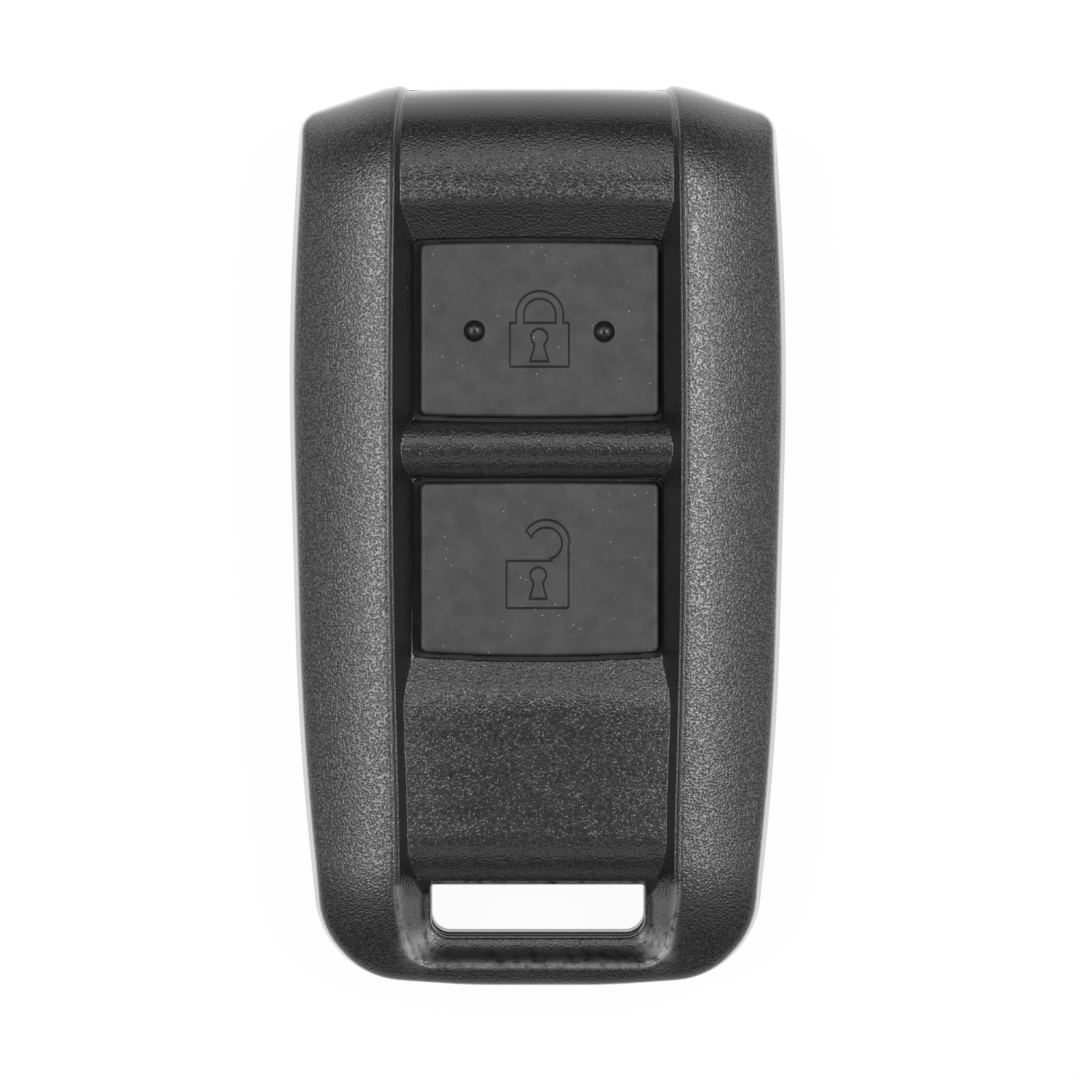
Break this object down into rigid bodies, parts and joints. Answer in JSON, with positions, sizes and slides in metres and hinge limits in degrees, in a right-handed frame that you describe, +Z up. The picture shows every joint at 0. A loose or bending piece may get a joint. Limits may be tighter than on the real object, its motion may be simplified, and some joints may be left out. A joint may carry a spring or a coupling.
{
  "type": "car key fob",
  "caption": "Flat black car key fob with raised grained wings, lock and unlock push buttons in a recessed channel, a key-ring slot and a spare key that draws out of the end.",
  "frame": {"origin": "middle of the flat back face on which the fob lies", "axes": "+X to the right as the buttons are read, +Y to the end with the lock button, +Z up through the buttons"},
  "size_m": [0.043, 0.078, 0.0155],
  "materials": {
    "grained_plastic": "fine grained moulding, satin",
    "button_rubber": "smooth matte",
    "web_silicone": "matte",
    "tray_plastic": "matte moulding",
    "board_laminate": "solder mask, satin",
    "switch_plastic": "matte",
    "plunger_plastic": "matte",
    "sheet_steel": "bright sheet",
    "cell_steel": "satin nickel",
    "contact_brass": "plated strip",
    "chip_resin": "matte resin",
    "crystal_can": "satin",
    "capacitor_ceramic": "matte",
    "ferrite": "matte",
    "copper_wire": "enamelled",
    "antenna_wire": "tinned",
    "blade_steel": "satin nickel"
  },
  "bodies": {
    "fob": {"front_cover": "grained_plastic", "rear_cover": "grained_plastic", "keypad_web": "web_silicone", "inner_tray": "tray_plastic", "circuit_board": "board_laminate", "lock_switch": "switch_plastic", "lock_switch_cover": "sheet_steel", "unlock_switch": "switch_plastic", "unlock_switch_cover": "sheet_steel", "coin_cell": "cell_steel", "positive_contact": "contact_brass", "negative_contact": "contact_brass", "controller_chip": "chip_resin", "radio_chip": "chip_resin", "crystal": "crystal_can", "capacitors": "capacitor_ceramic", "coil_core": "ferrite", "coil_winding": "copper_wire", "antenna_loop": "antenna_wire", "key_spring": "sheet_steel"},
    "lock_key": {"lock_button": "button_rubber"},
    "unlock_key": {"unlock_button": "button_rubber"},
    "lock_stem": {"lock_plunger": "plunger_plastic"},
    "unlock_stem": {"unlock_plunger": "plunger_plastic"},
    "spare_key": {"key_blade": "blade_steel", "key_head": "grained_plastic"}
  },
  "joints": [
    {"name": "lock_press", "type": "slide", "parent": "fob", "child": "lock_key", "axis": [0, 0, -1], "range_m": [0, 0.0004], "stiffness_N_per_m": 600, "springref_m": -0.002},
    {"name": "lock_stem_press", "type": "slide", "parent": "fob", "child": "lock_stem", "axis": [0, 0, -1], "range_m": [0, 0.0004]},
    {"name": "unlock_press", "type": "slide", "parent": "fob", "child": "unlock_key", "axis": [0, 0, -1], "range_m": [0, 0.0004], "stiffness_N_per_m": 600, "springref_m": -0.002},
    {"name": "unlock_stem_press", "type": "slide", "parent": "fob", "child": "unlock_stem", "axis": [0, 0, -1], "range_m": [0, 0.0004]},
    {"name": "spare_key_draw", "type": "slide", "parent": "fob", "child": "spare_key", "axis": [0, 1, 0], "range_m": [0, 0.052]}
  ],
  "couplings": [
    {"joint": "lock_stem_press", "follows": "lock_press", "ratio": 1},
    {"joint": "unlock_stem_press", "follows": "unlock_press", "ratio": 1}
  ]
}
